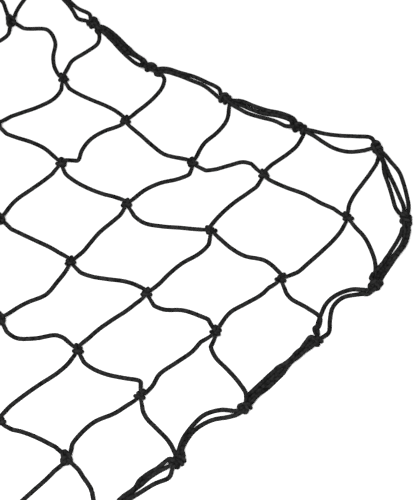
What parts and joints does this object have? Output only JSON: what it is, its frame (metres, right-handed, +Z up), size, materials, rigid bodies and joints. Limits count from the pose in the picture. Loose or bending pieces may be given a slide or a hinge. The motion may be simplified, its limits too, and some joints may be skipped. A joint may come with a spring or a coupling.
{
  "type": "knotted cargo net",
  "caption": "Square net of black elastic cord, knotted at every crossing, with a doubled border cord held in knots along its edges, lying slack and flat.",
  "frame": {"origin": "middle of the net's bounding box in plan, on the surface that it lies on", "axes": "+Z up from the surface; +X and +Y along the two ways of the mesh, the corner seen in the picture lying at +X, +Y"},
  "size_m": [0.7292, 0.7724, 0.0112],
  "materials": {
    "mesh_cord_black": "matte braided sleeve",
    "border_cord_black": "matte braided sleeve"
  },
  "bodies": {
    "root": {"mesh_cord": "mesh_cord_black", "border_cord": "border_cord_black"}
  },
  "joints": []
}
